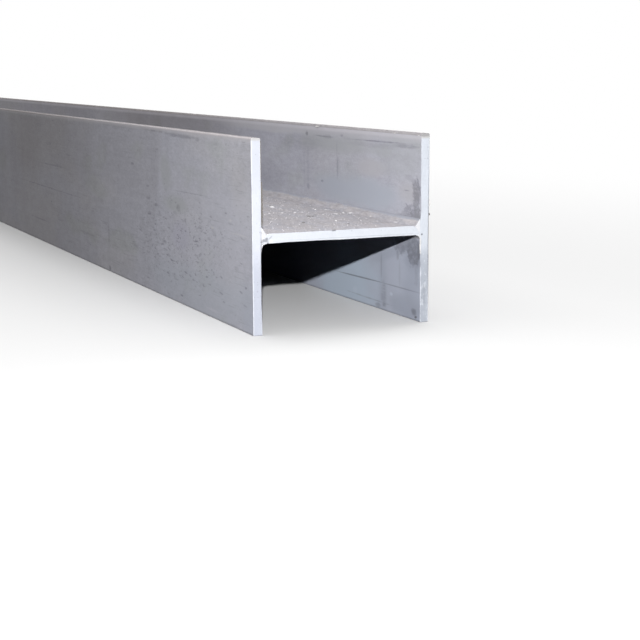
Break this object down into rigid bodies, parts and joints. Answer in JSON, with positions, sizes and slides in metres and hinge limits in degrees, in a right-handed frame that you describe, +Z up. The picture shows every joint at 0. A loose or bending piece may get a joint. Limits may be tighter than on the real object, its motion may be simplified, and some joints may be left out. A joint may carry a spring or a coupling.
{
  "type": "steel h-beam",
  "caption": "Welded stainless steel H-beam: a web plate between two flange plates of the same thickness, joined by full-length welded seams, with square cut ends.",
  "frame": {"origin": "centre of the beam's length and section, at the level of the lower flange edges that it rests on", "axes": "+Y along the beam, +X across the section from the left flange to the right one, +Z up, square to the web"},
  "size_m": [0.2, 6, 0.2],
  "materials": {
    "plate": "pickled grey stainless plate, matt, faintly mottled, with bright cut ends",
    "weld": "pickled weld metal, satin, finely rippled"
  },
  "bodies": {
    "root": {"web_plate": "plate", "flange_plate_left": "plate", "flange_plate_right": "plate", "weld_upper_left": "weld", "weld_upper_right": "weld", "weld_lower_left": "weld", "weld_lower_right": "weld"}
  },
  "joints": []
}
